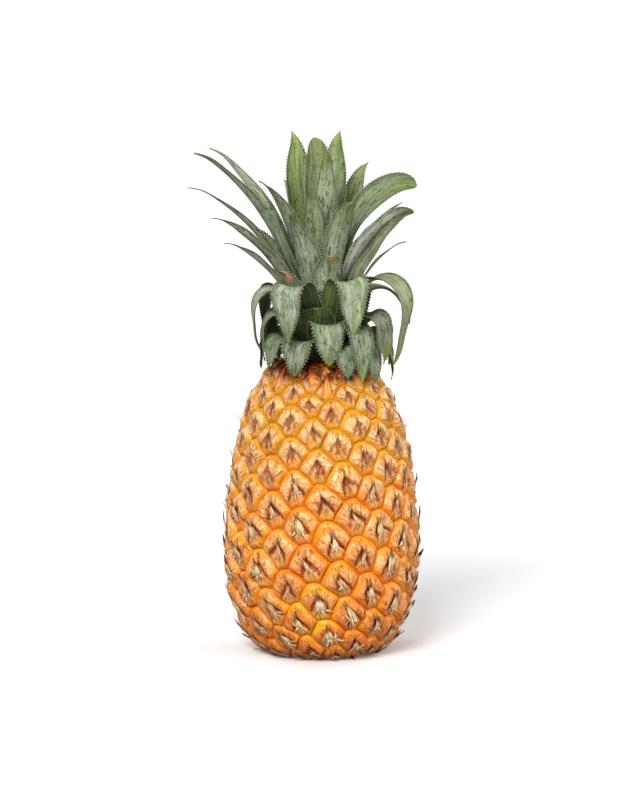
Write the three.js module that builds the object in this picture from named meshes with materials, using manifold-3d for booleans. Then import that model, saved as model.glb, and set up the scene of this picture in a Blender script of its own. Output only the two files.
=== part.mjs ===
// A whole pineapple that stands on its base: the fruit, the cut stalk under it, the short stem of the
// crown, and the crown's leaves. Millimetres, +Z up. The origin is the middle of the stalk's cut face, on
// the surface that the fruit stands on, and the front of the fruit is towards -Y.
import * as THREE from "three";
import { mergeVertices } from "three/addons/utils/BufferGeometryUtils.js";
import Module from "manifold-3d";

const wasm = await Module();
wasm.setup();

// ---- Driving dimensions ----

// Half the outline of the fruit between its eyes, from the neck down to the base: [radius, height].
const FRUIT_OUTLINE = [
  [12, 181.5], [24, 179.5], [31, 173], [38, 163.5], [44.5, 150], [49.5, 130], [53.5, 107], [56, 82],
  [56.4, 60], [54.5, 40], [50.5, 24], [44, 11], [36, 3.8], [28, 0.2], [20, -1.2], [12, -1.6],
];
const NECK_HEIGHT = 180; // the top of the fruit, where the stem of the crown stands
const EYE_TURN = 137.36; // degrees round the fruit from one eye to the next, on one spiral through them all
const EYE_DROP = 0.0199; // how far the next eye is down the outline, as a share of the radius there
const FRONT_EYE_HEIGHT = 101; // an eye faces the front at this height...
const FRONT_EYE_BEARING = -89; // ...with this bearing in degrees
const EYE_DRIFT = 0.034; // how much further the spirals turn away from that eye towards both ends
const EYE_STEPS = [8, 13]; // eyes that touch are 8, 13 or 21 apart along the spiral
const EYE_RELIEF = 3.2; // how far the middle of an eye stands out of the grooves around it

const STALK_RADIUS = 12;
const STALK_DEPTH = 9; // how far the cut stalk goes up into the fruit

const STEM_RADIUS = 15; // at the neck
const STEM_TIP_RADIUS = 4.5;
const STEM_HEIGHT = 46;

const GAP = 0.3; // left between pieces that touch

// What the leaves share. A share of a leaf's length runs from 0 at its foot to 1 at its tip.
const LEAF_STATIONS = 11;
const FOOT_WIDTH = 0.74; // of the leaf's full width, which it has from...
const FULL_WIDTH_FROM = 0.3; // ...this share of its length
const TIP_WIDTH = 1.4;
const TIP_HOOK = 24; // degrees that the end of a leaf curls down more than the rest...
const HOOK_FROM = 0.85; // ...past this share of its length
const BLUNTNESS = 6; // how late a round tip narrows
const TIP_THINNING = 0.65; // the share of its thickness that a leaf loses by its tip
const FOOT_WRAP = 0.4; // the share of its length that takes it from wrapping the stem to its own channel
const ROLL_SPAN = [0.1, 0.8]; // where along its length its face turns

// How finely round things are cut up.
const OUTLINE_STEPS = 400;
const MIDLINE_STEPS = 12; // from one station of a leaf to the next
const STALK_SIDES = 32;
const STEM_SIDES = 20;
const MERGE_DISTANCE = 1e-4;
const FINEST_EDGE = 0.04; // shorter edges, left where one piece is cut by another, are closed up

// The leaves of the crown, in tiers from the lowest to the innermost. In a tier, thick is the thickness of
// a leaf along its middle, trough the radius of its channel, ease the share of its length that its bend
// takes up, and point how late it narrows to its tip. Each leaf is [bearing, rise, length, width, lean, tip
// lean, bend, roll, blunt]: the bearing that it grows towards (-90 is the front), the height at which it
// leaves the stem, how far it leans from upright at its base and at its tip, the share of its length at
// which the middle of its bend is, how far its face is turned about its length by the tip, and whether the
// tip is round. Lengths are in millimetres and angles in degrees.
const TIERS = [
  { name: "collar_leaf", colour: 0x5f7a55, thick: 1.7, trough: 22, ease: 0.25, point: 4, leaves: [
    [-116, 183, 43, 22, 30, 172, 0.46, 0], [-66, 182.6, 41, 18, 40, 165, 0.46, 0],
    [-37, 183.2, 47, 19, 44, 168, 0.44, 0], [-4, 182.8, 52, 17, 48, 172, 0.46, 0],
    [40, 183.4, 50, 20, 42, 166, 0.48, 0], [86, 182.9, 48, 21, 40, 168, 0.48, 0],
    [130, 183.3, 46, 20, 38, 166, 0.48, 0], [172, 182.7, 44, 19, 32, 168, 0.46, 0],
    [-148, 183.2, 42, 18, 32, 165, 0.48, 0],
  ] },
  { name: "lower_leaf", colour: 0x66805b, thick: 1.8, trough: 22, ease: 0.2, point: 4, leaves: [
    [-84, 189.4, 50, 22, 26, 172, 0.46, 0], [-52, 189.8, 60, 20, 40, 172, 0.42, 0],
    [-30, 190.6, 62, 24, 40, 172, 0.5, 0], [14, 189.4, 60, 20, 40, 170, 0.45, 0],
    [60, 190.2, 58, 22, 30, 170, 0.46, 0], [104, 189.6, 58, 22, 30, 170, 0.46, 0],
    [150, 190.3, 56, 20, 26, 172, 0.46, 0], [-170, 189.5, 58, 20, 24, 174, 0.46, 0],
    [-104, 187.8, 32, 26, 14, 30, 0.6, 0, 1],
  ] },
  { name: "drooping_leaf", colour: 0x7d9470, thick: 1.9, trough: 24, ease: 0.14, point: 3.5, leaves: [
    [-123, 197, 78, 27, 24, 176, 0.52, 0], [-61, 197.6, 78, 27, 22, 176, 0.55, 0],
    [56, 196.9, 70, 24, 26, 172, 0.5, 0], [106, 197.5, 72, 24, 26, 172, 0.5, 0],
    [152, 197, 72, 22, 26, 172, 0.5, 0], [-94, 194.6, 36, 27, 8, 30, 0.6, 0, 1],
  ] },
  { name: "arching_leaf", colour: 0x87a074, thick: 1.9, trough: 22, ease: 0.3, point: 3, leaves: [
    [-28, 196.6, 114, 23, 22, 188, 0.48, 0], [16, 197.3, 72, 18, 26, 150, 0.52, 0],
    [-168, 197.3, 78, 20, 18, 186, 0.48, 0],
  ] },
  { name: "spreading_leaf", colour: 0x6d8566, thick: 1.7, trough: 18, ease: 0.5, point: 3, leaves: [
    [-166, 205.6, 74, 18, 30, 64, 0.6, -10], [-146, 201, 42, 22, 18, 30, 0.6, 0, 1],
    [-75, 200.4, 52, 22, 8, 24, 0.6, 0, 1], [-22, 204.2, 84, 18, 22, 44, 0.6, 10],
    [-4, 203.4, 68, 11, 23, 62, 0.66, 0], [54, 203, 76, 18, 28, 56, 0.6, 0],
    [98, 202.3, 76, 18, 30, 58, 0.6, 0], [142, 203.1, 70, 17, 26, 46, 0.6, 0],
  ] },
  { name: "long_leaf", colour: 0x71896a, thick: 1.6, trough: 15, ease: 0.5, point: 3, leaves: [
    [-160, 207.6, 92, 19, 28, 62, 0.6, -10], [-172, 209, 112, 16, 26, 62, 0.6, -10],
    [-124, 207, 76, 25, 10, 34, 0.6, 0], [-15, 208.8, 86, 20, 12, 54, 0.48, 25, 1],
    [28, 207.8, 84, 18, 22, 50, 0.6, 0], [76, 208.5, 92, 18, 24, 54, 0.6, 0],
    [120, 207.7, 84, 17, 22, 48, 0.6, 0],
  ] },
  { name: "upright_leaf", colour: 0x6f8a5c, thick: 1.5, trough: 13, ease: 0.45, point: 4, leaves: [
    [-164, 212.2, 126, 18, 22, 52, 0.6, -10], [170, 214, 117, 16, 20, 46, 0.6, 10],
    [-148, 213.4, 92, 22, 12, 38, 0.6, 0], [-54, 211.6, 74, 25, 8, 24, 0.6, 0, 1],
    [8, 213.2, 102, 18, 10, 92, 0.72, -25, 1], [46, 213.5, 94, 20, 12, 32, 0.6, -15],
    [96, 214.3, 104, 18, 10, 34, 0.6, 0], [134, 212.8, 82, 17, 10, 24, 0.6, 0],
  ] },
  { name: "heart_leaf", colour: 0x7d9a58, thick: 1.3, trough: 12, ease: 0.5, point: 5, leaves: [
    [148, 218.4, 104, 23, 10, 1, 0.5, 40], [-114, 218.4, 72, 18, 6, 14, 0.6, 0],
    [-70, 221.4, 92, 17, 3, 8, 0.6, 0], [50, 222.6, 100, 20, 5, 3, 0.5, -25],
    [104, 223.8, 94, 20, 1, 8, 0.6, 0, 1],
  ] },
];

// ---- Geometry helpers ----

const radians = THREE.MathUtils.degToRad;
const smooth = THREE.MathUtils.smoothstep;
const mix = THREE.MathUtils.lerp;

function solidOf(geometry) {
  const bare = geometry.clone();
  bare.deleteAttribute("normal");
  bare.deleteAttribute("uv");
  const merged = mergeVertices(bare, MERGE_DISTANCE);
  return new wasm.Manifold(new wasm.Mesh({
    numProp: 3,
    vertProperties: merged.attributes.position.array,
    triVerts: new Uint32Array(merged.index.array),
  }));
}

function solidFrom(points, faces) {
  const geometry = new THREE.BufferGeometry().setFromPoints(points);
  return solidOf(geometry.setIndex(faces.flat()));
}

function largestBody(solid) {
  return solid.decompose().reduce((best, body) => (body.volume() > best.volume() ? body : best));
}

function piece(name, solid, colour, roughness) {
  const mesh = solid.getMesh();
  const geometry = new THREE.BufferGeometry();
  geometry.setAttribute("position", new THREE.BufferAttribute(new Float32Array(mesh.vertProperties), 3));
  geometry.setIndex(new THREE.BufferAttribute(new Uint32Array(mesh.triVerts), 1));
  const material = new THREE.MeshStandardMaterial({ color: colour, roughness, metalness: 0 });
  const made = new THREE.Mesh(geometry, material);
  made.name = name;
  return made;
}

// A solid of revolution about the upright axis, from [radius, height] points that start and end on the
// axis.
function turned(profile, segments) {
  const points = profile.map(([r, z]) => new THREE.Vector2(r, z));
  return solidOf(new THREE.LatheGeometry(points, segments).rotateX(Math.PI / 2));
}

// ---- Fruit ----

// The outline as points with, for each, the distance along it divided by the radius. On that scale the eyes
// keep their shape while they shrink towards both ends.
function outlineTable() {
  const curve = new THREE.SplineCurve(FRUIT_OUTLINE.map(([r, z]) => new THREE.Vector2(r, z)));
  const points = curve.getPoints(OUTLINE_STEPS);
  let along = 0;
  return points.map((p, i) => {
    if (i > 0) along += p.distanceTo(points[i - 1]) / ((p.x + points[i - 1].x) / 2);
    return { r: p.x, z: p.y, along };
  });
}

const OUTLINE = outlineTable();
const OUTLINE_LENGTH = OUTLINE.at(-1).along;

// A point of the skin from its bearing and its place along the outline, raised square off the outline by
// height.
function skinPoint({ x: bearing, y: along }, height) {
  const below = THREE.MathUtils.clamp(OUTLINE.findIndex((p) => p.along > along), 1, OUTLINE.length - 1);
  const [a, b] = [OUTLINE[below - 1], OUTLINE[below]];
  const share = (along - a.along) / (b.along - a.along);
  const run = new THREE.Vector2(b.r - a.r, b.z - a.z).normalize();
  const r = mix(a.r, b.r, share) - run.y * height;
  const z = mix(a.z, b.z, share) + run.x * height;
  return new THREE.Vector3(r * Math.cos(bearing), r * Math.sin(bearing), z);
}

function circumcentre(a, b) {
  const across = 2 * a.cross(b);
  const x = (b.y * a.lengthSq() - a.y * b.lengthSq()) / across;
  const y = (a.x * b.lengthSq() - b.x * a.lengthSq()) / across;
  return new THREE.Vector2(x, y);
}

// The fruit's skin is a net of six-sided eyes, each a low pyramid. A corner of the net is where three eyes
// meet.
function eyeNet() {
  const [few, many] = EYE_STEPS;
  const stepBy = (count) => new THREE.Vector2(
    radians(THREE.MathUtils.euclideanModulo(count * EYE_TURN + 180, 360) - 180), count * EYE_DROP);
  const both = stepBy(few).add(stepBy(many));
  const corners = [circumcentre(stepBy(few), both), circumcentre(both, stepBy(many))];
  const front = OUTLINE.find((p) => p.z < FRONT_EYE_HEIGHT).along;
  const first = Math.ceil(-front / EYE_DROP) + many;
  const last = Math.floor((OUTLINE_LENGTH - front) / EYE_DROP) - many;
  const points = [];
  const numbers = new Map();
  const numberOf = (key, place) => {
    if (!numbers.has(key)) {
      numbers.set(key, points.length);
      points.push(place());
    }
    return numbers.get(key);
  };
  const centreOf = (eye) => {
    const drop = eye * EYE_DROP;
    const bearing = radians(FRONT_EYE_BEARING + eye * EYE_TURN) + EYE_DRIFT * drop ** 2;
    return new THREE.Vector2(bearing, front + drop);
  };
  const cornerOf = (kind, eye) =>
    numberOf(`${kind} ${eye}`, () => skinPoint(centreOf(eye).add(corners[kind]), 0));
  const faces = [];
  const open = new Map(); // edges of the net that have an eye on one side only
  for (let eye = first; eye <= last; eye += 1) {
    const middle = numberOf(`middle ${eye}`, () => skinPoint(centreOf(eye), EYE_RELIEF));
    const owners = [eye, eye, eye - few, eye - few - many, eye - few - many, eye - many];
    const rim = owners.map((owner, i) => cornerOf(i % 2, owner));
    rim.forEach((from, i) => {
      const to = rim[(i + 1) % rim.length];
      faces.push([from, middle, to]);
      if (!open.delete(`${to} ${from}`)) open.set(`${from} ${to}`, [from, to]);
    });
  }
  // Each open end of the net is closed with a fan to a point on the axis.
  for (const [from, to] of open.values()) {
    const end = points[from].z > FRONT_EYE_HEIGHT ? OUTLINE[0] : OUTLINE.at(-1);
    faces.push([to, numberOf(`end ${end.z}`, () => new THREE.Vector3(0, 0, end.z)), from]);
  }
  return solidFrom(points, faces);
}

function fruit() {
  const wide = 2 * FRUIT_OUTLINE.reduce((most, [r]) => Math.max(most, r), 0);
  const slab = turned([[0, 0], [wide, 0], [wide, NECK_HEIGHT], [0, NECK_HEIGHT]], STALK_SIDES);
  const [radius, top] = [STALK_RADIUS + GAP, STALK_DEPTH + GAP];
  const socket = turned([[0, -top], [radius, -top], [radius, top], [0, top]], STALK_SIDES);
  return piece("fruit", eyeNet().intersect(slab).subtract(socket), 0xe39a35, 0.5);
}

function cutStalk() {
  const outline = [[0, 0], [STALK_RADIUS, 0], [STALK_RADIUS, STALK_DEPTH], [0, STALK_DEPTH]];
  return piece("cut_stalk", turned(outline, STALK_SIDES), 0x9a7a48, 0.8);
}

// ---- Crown ----

function stemRadius(height) {
  return mix(STEM_RADIUS, STEM_TIP_RADIUS, (height - NECK_HEIGHT) / STEM_HEIGHT);
}

function stemSolid(spare) {
  const [foot, top] = [NECK_HEIGHT + GAP, NECK_HEIGHT + STEM_HEIGHT];
  const side = [foot, top].map((height) => [stemRadius(height) + spare, height]);
  return turned([[0, foot], ...side, [0, top + spare]], STEM_SIDES);
}

// The line down the back of a leaf, in the upright plane that it grows in, as points at equal steps along
// it.
function midline(tier, [, rise, length, , lean, tipLean, bend]) {
  const count = LEAF_STATIONS * MIDLINE_STEPS;
  const at = { r: stemRadius(rise) + GAP + tier.thick, z: rise };
  const line = [];
  for (let i = 0; i <= count; i += 1) {
    const t = i / count;
    const bent = mix(lean, tipLean, smooth(t, bend - tier.ease, bend + tier.ease));
    const tilt = radians(bent + TIP_HOOK * smooth(t, HOOK_FROM, 1));
    if (i % MIDLINE_STEPS === 0) line.push({ t, tilt, r: at.r, z: at.z });
    at.r += (Math.sin(tilt) * length) / count;
    at.z += (Math.cos(tilt) * length) / count;
  }
  return line;
}

function widthAt(t, width, point, blunt) {
  const foot = mix(FOOT_WIDTH, 1, smooth(t, 0, FULL_WIDTH_FROM));
  const taper = blunt ? Math.sqrt(1 - t ** BLUNTNESS) : 1 - t ** point;
  return Math.max(TIP_WIDTH, width * foot * taper);
}

// The corners of a leaf's cross-section, from its back round its left edge, the floor of its channel and
// its right edge, as [side, lift]. With spare it is at least that much fatter all round, with blunt edges.
function section(edge, rim, floor, spare) {
  if (!spare) return [[0, 0], [-edge, rim], [0, floor], [edge, rim]];
  const [side, low, high] = [edge + spare, rim - 2 * spare, rim + 2 * spare];
  const top = floor + 1.5 * spare;
  return [[0, -1.5 * spare], [-side, low], [-side, high], [0, top], [side, high], [side, low]];
}

// A leaf as a strip of cross-sections. With spare it is a fatter copy, to cut room for the leaf out of a
// neighbour.
function leafSolid(tier, leaf, spare = 0) {
  const [bearing, rise, , width, , , , roll, blunt] = leaf;
  const rings = midline(tier, leaf).map(({ t, tilt, r, z }) => {
    const trough = mix(stemRadius(rise) + GAP + tier.thick, tier.trough, smooth(t, 0, FOOT_WRAP));
    const swing = widthAt(t, width, tier.point, blunt) / 2 / trough;
    const [edge, rim] = [Math.sin(swing) * trough, (1 - Math.cos(swing)) * trough];
    const turn = radians(roll) * smooth(t, ...ROLL_SPAN);
    const past = spare * ((t === 1) - (t === 0));
    return section(edge, rim, tier.thick * (1 - TIP_THINNING * t), spare).map(([side, lift]) => {
      const up = lift * Math.cos(turn) - side * Math.sin(turn);
      const across = side * Math.cos(turn) + lift * Math.sin(turn);
      const outward = r - Math.cos(tilt) * up + Math.sin(tilt) * past;
      return new THREE.Vector3(outward, across, z + Math.sin(tilt) * up + Math.cos(tilt) * past);
    });
  });
  const corners = rings[0].length;
  const tip = corners * (rings.length - 1);
  const faces = [];
  for (let i = 1; i < corners - 1; i += 1) faces.push([0, i, i + 1], [tip, tip + i + 1, tip + i]);
  // Both faces of a leaf are split along the same diagonals, so that they can't cross where it is twisted.
  for (let i = 0; i < tip; i += 1) {
    const next = i % corners === corners - 1 ? i + 1 - corners : i + 1;
    if (i % 2) faces.push([i, i + corners, next + corners], [i, next + corners, next]);
    else faces.push([i, i + corners, next], [next, i + corners, next + corners]);
  }
  return solidFrom(rings.flat(), faces).rotate([0, 0, bearing]);
}

function crown() {
  const group = new THREE.Group();
  group.add(piece("crown_stem", stemSolid(0), 0x8b8a4a, 0.7));
  const taken = [stemSolid(GAP)];
  for (const tier of TIERS)
    tier.leaves.forEach((leaf, i) => {
      const cut = leafSolid(tier, leaf).subtract(wasm.Manifold.union(taken));
      const solid = largestBody(cut.asOriginal().simplify(FINEST_EDGE));
      group.add(piece(`${tier.name}_${i + 1}`, solid, tier.colour, 0.6));
      taken.push(leafSolid(tier, leaf, GAP));
    });
  return group;
}

const pineapple = new THREE.Group();
pineapple.add(fruit(), cutStalk(), crown());

export default pineapple;
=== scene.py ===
"""A whole ripe pineapple that stands on its cut base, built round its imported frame.

The fruit's skin, the dry bracts on its eyes, the cut stalk and every leaf of the crown are modelled
here; the stem inside the crown is the frame's own. Lengths are in metres in Blender, and the tables of
the fruit and the crown are in millimetres.
"""

import contextlib
import math
from typing import NamedTuple

import bpy
import numpy as np
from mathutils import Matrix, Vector


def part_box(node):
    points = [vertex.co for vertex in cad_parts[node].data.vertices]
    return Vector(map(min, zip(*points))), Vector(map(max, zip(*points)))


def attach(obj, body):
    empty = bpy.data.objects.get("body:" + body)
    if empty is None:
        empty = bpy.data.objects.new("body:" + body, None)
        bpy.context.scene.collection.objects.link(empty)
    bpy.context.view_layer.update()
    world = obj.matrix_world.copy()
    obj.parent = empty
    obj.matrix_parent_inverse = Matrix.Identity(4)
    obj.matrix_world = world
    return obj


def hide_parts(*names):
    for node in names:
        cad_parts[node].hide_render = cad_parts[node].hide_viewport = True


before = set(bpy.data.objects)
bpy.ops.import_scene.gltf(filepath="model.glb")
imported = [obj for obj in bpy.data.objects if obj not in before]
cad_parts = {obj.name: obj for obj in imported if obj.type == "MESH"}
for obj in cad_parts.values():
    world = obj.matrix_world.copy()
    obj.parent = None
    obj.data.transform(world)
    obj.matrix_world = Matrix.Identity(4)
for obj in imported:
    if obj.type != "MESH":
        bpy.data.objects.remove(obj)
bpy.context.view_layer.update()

bl_info = {
    "name": "Pineapple",
    "version": (1, 0, 0),
    "blender": (4, 5, 0),
    "location": "3D View > Sidebar > Pineapple",
    "description": "Models a whole ripe pineapple with its crown, and a plain studio round it",
    "category": "Object",
}

MM = 0.001


def shade(red, green, blue):
    """A colour given in display values from 0 to 255, as Blender's linear one."""
    values = [v / 255 for v in (red, green, blue)]
    return tuple(v / 12.92 if v < 0.04045 else ((v + 0.055) / 1.055) ** 2.4 for v in values)


def smooth(value, low, high):
    """0 below low, 1 above high and an even S between them."""
    share = np.clip((value - low) / (high - low), 0, 1)
    return share * share * (3 - 2 * share)


def mix(first, second, share):
    """From the first at 0 to the second at 1."""
    return first + (second - first) * share


def bump(value, middle, spread):
    """1 at the middle, falling off on both sides of it."""
    return np.exp(-(((value - middle) / spread) ** 2))


# ---- The fruit's own measures, in millimetres ----

# Half the outline of the fruit between its eyes, from the neck down to the base: (radius, height).
FRUIT_OUTLINE = [
    (12, 181.5), (24, 179.5), (31, 173), (38, 163.5), (44.5, 150), (49.5, 130), (53.5, 107), (56, 82),
    (56.4, 60), (54.5, 40), (50.5, 24), (44, 11), (36, 3.8), (28, 0.2), (20, -1.2), (12, -1.6),
]
OUTLINE_STEPS = 400
EYE_TURN = 137.36  # degrees round the fruit from one eye to the next, on one spiral through them all
EYE_DROP = 0.0199  # how far the next eye is down the outline, as a share of the radius there
EYE_DRIFT = 0.034  # how much further the spirals turn towards both ends
EYE_STEPS = (8, 13)  # eyes that touch are 8, 13 or 21 apart along the spiral
FRONT_EYE_HEIGHT = 101
FRONT_EYE_BEARING = -89  # degrees
NECK_BRACTS_FROM = 168  # above this height the bracts are long and cover the neck
STALK_RADIUS = 12
STALK_DEPTH = 9
STALK_RINGS = 8  # how many rings of faces its cut end has round the middle
FIBRE_DEPTH = 0.8  # how far its fibres stand back from the cut
GAP = 0.3  # what is left free between a piece and the one that it is set in or round
YELLOW_PATCH = (-8, -52, 30)  # the middle of a yellower patch of rind
WIDEST = max(radius for radius, height in FRUIT_OUTLINE)
SKIN_WAVES = 8  # how many slow waves make the skin uneven
SKIN_WAVE_LENGTHS = (16, 34)
SKIN_WAVE_HEIGHT = 0.28

# Where the random numbers of each kind of piece start. A piece adds its own number.
SEEDS = dict(leaf=0, skin=4, frayed_bract=90, eye_lean=300, eye_look=500, eye_shape=1000, dry_tip=5000,
             neck_bract=7000)


def chance_for(kind, number=0):
    """A piece's own random numbers, the same on every run."""
    return np.random.default_rng(SEEDS[kind] + number)


# ---- The crown's own measures, in millimetres and degrees ----

NECK_HEIGHT = 180
STEM_RADIUS = 15
STEM_TIP_RADIUS = 4.5
STEM_HEIGHT = 46


class Leaf(NamedTuple):
    """The measures of one leaf."""

    bearing: float  # what it grows towards; -90 is the front
    rise: float  # the height at which it leaves the stem
    length: float
    width: float
    lean: float  # how far it leans from upright at its base
    tip_lean: float  # and at its tip
    bend: float  # the share of its length at which the middle of its bend is
    roll: float = 0  # how far its face is turned by the tip
    blunt: float = 0  # how square its round end is, or 0 where its tip is pointed


# How each leaf looks: how much grey bloom covers its back and its upper side, how far it has turned
# yellow-green, how strongly its tip is yellowed, and how much of it is torn and scarred.
PLAIN_LOOK = dict(back=0.75, upper=0.8, ripe=0.15, tip=0.3, scar=0.0, blush=0.0)

# The leaves in tiers from the lowest to the innermost, as in the frame. In a tier, thick is the thickness
# along a leaf's middle, trough the radius of its channel, ease half the share of its length that its bend
# takes up, point how late it narrows to its tip, and look what its leaves have unlike the plain look.
TIERS = {
    "collar_leaf": dict(
        slot="lower_leaves", thick=1.7, trough=22, ease=0.25, point=4,
        look=dict(back=0.12, upper=0.55, tip=0.3), leaves=[
            (-116, 183, 43, 22, 30, 172, 0.46), (-66, 182.6, 41, 18, 40, 165, 0.46),
            (-37, 183.2, 47, 19, 44, 168, 0.44), (-4, 182.8, 52, 17, 48, 172, 0.46),
            (40, 183.4, 50, 20, 42, 166, 0.48), (86, 182.9, 48, 21, 40, 168, 0.48),
            (130, 183.3, 46, 20, 38, 166, 0.48), (172, 182.7, 44, 19, 32, 168, 0.46),
            (-148, 183.2, 42, 18, 32, 165, 0.48),
        ]),
    "lower_leaf": dict(
        slot="lower_leaves", thick=1.8, trough=22, ease=0.2, point=4,
        look=dict(back=0.08, upper=0.68, tip=0.5), leaves=[
            (-84, 189.4, 50, 22, 26, 172, 0.46), (-52, 189.8, 60, 20, 40, 172, 0.42),
            (-30, 190.6, 62, 24, 40, 172, 0.5), (14, 189.4, 60, 20, 40, 170, 0.45),
            (60, 190.2, 58, 22, 30, 170, 0.46), (104, 189.6, 58, 22, 30, 170, 0.46),
            (150, 190.3, 56, 20, 26, 172, 0.46), (-170, 189.5, 58, 20, 24, 174, 0.46),
            (-104, 187.8, 32, 26, 14, 30, 0.6, 0, 9),
        ]),
    "drooping_leaf": dict(
        slot="lower_leaves", thick=1.9, trough=24, ease=0.14, point=3.5,
        look=dict(back=0.06, upper=0.9, tip=0.5), leaves=[
            (-123, 197, 78, 27, 24, 176, 0.52), (-61, 197.6, 78, 27, 22, 176, 0.55),
            (56, 196.9, 70, 24, 26, 172, 0.5), (106, 197.5, 72, 24, 26, 172, 0.5),
            (152, 197, 72, 22, 26, 172, 0.5), (-94, 194.6, 36, 27, 8, 30, 0.6, 0, 9),
        ]),
    "arching_leaf": dict(
        slot="lower_leaves", thick=1.9, trough=22, ease=0.3, point=3,
        look=dict(back=0.15, upper=0.8, tip=0.4), leaves=[
            (-28, 196.6, 114, 23, 22, 188, 0.48), (16, 197.3, 72, 18, 26, 150, 0.52),
            (-168, 197.3, 78, 20, 18, 186, 0.48),
        ]),
    "spreading_leaf": dict(
        slot="middle_leaves", thick=1.7, trough=18, ease=0.5, point=3,
        look=dict(back=0.95, upper=0.7, tip=0.4), leaves=[
            (-166, 205.6, 74, 18, 30, 64, 0.6, -10), (-146, 201, 42, 22, 18, 30, 0.6, 0, 6),
            (-75, 200.4, 52, 22, 8, 24, 0.6, 0, 4), (-22, 204.2, 84, 18, 22, 44, 0.6, 10),
            (-4, 203.4, 68, 11, 23, 62, 0.66), (54, 203, 76, 18, 28, 56, 0.6),
            (98, 202.3, 76, 18, 30, 58, 0.6), (142, 203.1, 70, 17, 26, 46, 0.6),
        ]),
    "long_leaf": dict(
        slot="middle_leaves", thick=1.6, trough=15, ease=0.5, point=3,
        look=dict(back=0.95, upper=0.8, tip=0.3), leaves=[
            (-160, 207.6, 92, 19, 28, 62, 0.6, -10), (-172, 209, 112, 16, 26, 62, 0.6, -10),
            (-124, 207, 76, 25, 10, 34, 0.6), (-15, 208.8, 86, 20, 12, 54, 0.48, 25, 7),
            (28, 207.8, 84, 18, 22, 50, 0.6), (76, 208.5, 92, 18, 24, 54, 0.6),
            (120, 207.7, 84, 17, 22, 48, 0.6),
        ]),
    "upright_leaf": dict(
        slot="inner_leaves", thick=1.5, trough=13, ease=0.45, point=4,
        look=dict(back=0.85, upper=0.75, ripe=0.3, tip=0.3), leaves=[
            (-164, 212.2, 126, 18, 22, 52, 0.6, -10), (170, 214, 117, 16, 20, 46, 0.6, 10),
            (-148, 213.4, 92, 22, 12, 38, 0.6), (-54, 211.6, 74, 25, 8, 24, 0.6, 0, 4),
            (8, 213.2, 102, 19, 10, 92, 0.72, -42, 9), (46, 213.5, 94, 20, 12, 32, 0.6, -15),
            (96, 214.3, 104, 18, 10, 34, 0.6), (134, 212.8, 82, 17, 10, 24, 0.6),
        ]),
    "heart_leaf": dict(
        slot="inner_leaves", thick=1.3, trough=12, ease=0.5, point=5,
        look=dict(back=0.5, upper=0.45, ripe=0.75, tip=0.3), leaves=[
            (148, 218.4, 104, 23, 10, 1, 0.5, 40), (-114, 218.4, 72, 18, 6, 14, 0.6),
            (-70, 221.4, 92, 17, 3, 8, 0.6), (50, 222.6, 100, 20, 5, 3, 0.5, -25),
            (104, 223.8, 94, 20, 1, 8, 0.6, 0, 6),
        ]),
}

# Shares of a leaf's length, width or thickness.
FOOT_WIDTH = 0.74
FULL_WIDTH_FROM = 0.3
FOOT_WRAP = 0.4  # how far up it is curved round the stem
ROLL_SPAN = (0.1, 0.8)
HOOK_FROM = 0.85
TIP_THINNING = 0.65
MARGIN_THINNING = 0.85
RIPPLE = 0.035
SWAY = 0.025

TIP_HOOK = 24  # degrees that the very end of a leaf bends down further
POINT_WIDTH = 0.25  # what is left of a pointed leaf's width at its very tip
SPINE_LEAN = 0.4  # how far a spine points towards the tip, as a share of the spines' pitch
FURLED_LENGTH = 62
FURLED_WIDTH = 18
FURLED_THICKNESS = 0.35
FURL_TURNS = 1.8
FURL_RADIUS = 1.3
FURL_GROWTH = 0.17  # how much the radius grows in a radian
FURL_SLANT = 14  # how much further up the leaf's middle reaches than its margins

# What is different on some of the leaves.
LEAF_LOOKS = {
    "arching_leaf_1": dict(upper=0.55, ripe=0.6, tip=0.6, blush=0.8),
    "arching_leaf_3": dict(upper=0.95, back=0.7),
    "drooping_leaf_1": dict(upper=1.05),
    "drooping_leaf_2": dict(upper=1.05, ripe=0.6, tip=0.2),
    "lower_leaf_2": dict(tip=0.9),
    "lower_leaf_3": dict(tip=1.4),
    "spreading_leaf_2": dict(scar=1.0, back=0.85),
    "spreading_leaf_3": dict(scar=0.3, back=0.75),
    "spreading_leaf_4": dict(scar=0.35, ripe=0.6, blush=0.8),
    "long_leaf_3": dict(back=0.85, ripe=0.25),
    "long_leaf_4": dict(upper=1.0, back=1.25),
    "upright_leaf_1": dict(back=1.0),
    "upright_leaf_4": dict(back=0.8),
    "upright_leaf_5": dict(upper=0.35, back=0.4, ripe=0.35, tip=0.1),
    "drooping_leaf_6": dict(tip=0.0),
    "lower_leaf_9": dict(tip=0.0),
    "upright_leaf_6": dict(upper=0.4, ripe=1.0, back=0.4),
    "heart_leaf_1": dict(upper=0.3, ripe=0.95),
    "heart_leaf_2": dict(back=0.75, ripe=0.5),
    "heart_leaf_3": dict(back=0.8, ripe=0.5),
    "heart_leaf_4": dict(upper=0.55, ripe=0.65),
    "heart_leaf_5": dict(upper=0.3, ripe=0.35),
}


# ---- Shader helpers ----


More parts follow.
